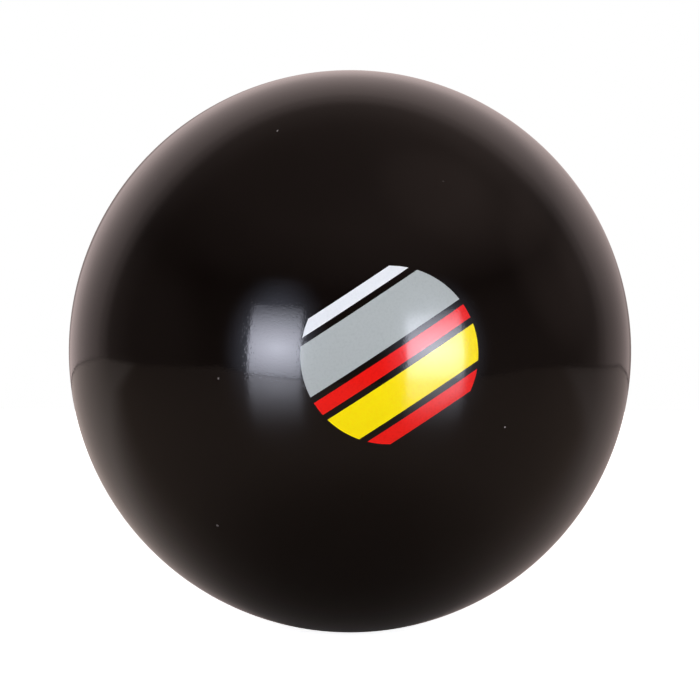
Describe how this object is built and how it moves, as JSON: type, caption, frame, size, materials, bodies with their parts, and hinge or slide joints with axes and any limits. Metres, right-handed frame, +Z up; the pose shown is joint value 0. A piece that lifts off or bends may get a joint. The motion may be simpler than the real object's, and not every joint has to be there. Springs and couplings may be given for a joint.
{
  "type": "field hockey ball",
  "caption": "Smooth gloss black field hockey ball with a yarn-wound cork core in a two-half moulded cover and a striped roundel printed on one side.",
  "frame": {"origin": "centre of the ball", "axes": "+Z up; the joint of the two half covers lies in the plane Y = 0, and the printed side faces -Y"},
  "size_m": [0.073, 0.073, 0.073],
  "materials": {
    "gloss_black_pvc": "moulded and polished, high gloss",
    "moulded_cork": "moulded granules, matt",
    "wool_yarn": "tightly wound worsted yarn, matt",
    "white_ink": "printed under clear gloss",
    "grey_ink": "printed under clear gloss",
    "red_ink": "printed under clear gloss",
    "yellow_ink": "printed under clear gloss"
  },
  "bodies": {
    "root": {"cork_nucleus": "moulded_cork", "yarn_bed": "wool_yarn", "yarn_winding": "wool_yarn", "cover_front": "gloss_black_pvc", "cover_back": "gloss_black_pvc", "print_white": "white_ink", "print_grey": "grey_ink", "print_red_upper": "red_ink", "print_yellow": "yellow_ink", "print_red_lower": "red_ink"}
  },
  "joints": []
}
